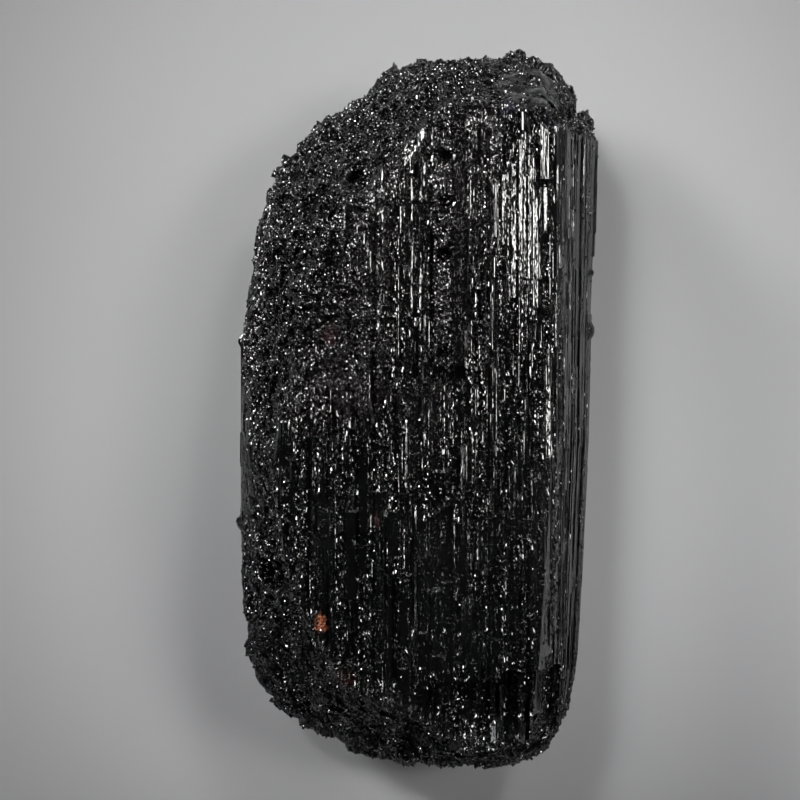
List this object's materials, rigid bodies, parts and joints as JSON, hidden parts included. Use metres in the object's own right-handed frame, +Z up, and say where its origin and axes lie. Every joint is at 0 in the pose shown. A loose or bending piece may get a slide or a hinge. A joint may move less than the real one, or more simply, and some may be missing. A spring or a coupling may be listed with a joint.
{
  "type": "black tourmaline crystal",
  "caption": "Thick striated black tourmaline crystal with broken ends and sugary crust, lying on its back.",
  "frame": {"origin": "middle of the crystal's outline seen from above, on the surface that it lies on", "axes": "+Y along the crystal towards its domed broken head, +Z up out of the striated front"},
  "size_m": [0.0786, 0.1555, 0.0559],
  "materials": {
    "black_tourmaline": "glossy vitreous black, striated along its length, with sugary broken ends"
  },
  "bodies": {
    "root": {"crystal": "black_tourmaline"}
  },
  "joints": []
}
